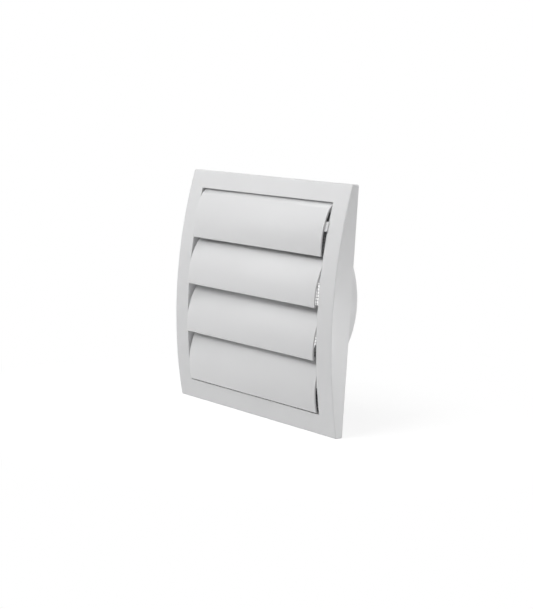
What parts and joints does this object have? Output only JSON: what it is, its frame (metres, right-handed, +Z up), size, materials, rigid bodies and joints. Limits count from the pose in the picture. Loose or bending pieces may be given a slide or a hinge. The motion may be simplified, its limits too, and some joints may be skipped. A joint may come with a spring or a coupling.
{
  "type": "louvred vent grille",
  "caption": "Square wall vent grille with a barrel-curved frame, gravity louvres that swing outward, an insect mesh and a round duct spigot on the back plate.",
  "frame": {"origin": "centre of the duct spigot in the plane of the wall", "axes": "+X to the right across the face, +Y into the wall along the spigot, +Z up; the face looks along -Y"},
  "size_m": [0.17, 0.0476, 0.17],
  "materials": {
    "frame_plastic": "satin white moulded ABS",
    "louvre_plastic": "satin white moulded ABS",
    "net": "matte grey net"
  },
  "bodies": {
    "body": {"frame": "frame_plastic", "base": "frame_plastic", "insect_mesh": "net"},
    "louvre_top": {"louvre_top": "louvre_plastic"},
    "louvre_upper": {"louvre_upper": "louvre_plastic"},
    "louvre_lower": {"louvre_lower": "louvre_plastic"},
    "louvre_bottom": {"louvre_bottom": "louvre_plastic"}
  },
  "joints": [
    {"name": "louvre_top_pivot", "type": "hinge", "parent": "body", "child": "louvre_top", "pos_m": [0, -0.0058, 0.0666], "axis": [-1, 0, 0], "range_deg": [0, 48]},
    {"name": "louvre_upper_pivot", "type": "hinge", "parent": "body", "child": "louvre_upper", "pos_m": [0, -0.0068, 0.0317], "axis": [-1, 0, 0], "range_deg": [0, 48]},
    {"name": "louvre_lower_pivot", "type": "hinge", "parent": "body", "child": "louvre_lower", "pos_m": [0, -0.0068, -0.0032], "axis": [-1, 0, 0], "range_deg": [0, 48]},
    {"name": "louvre_bottom_pivot", "type": "hinge", "parent": "body", "child": "louvre_bottom", "pos_m": [0, -0.0058, -0.0381], "axis": [-1, 0, 0], "range_deg": [0, 48]}
  ]
}
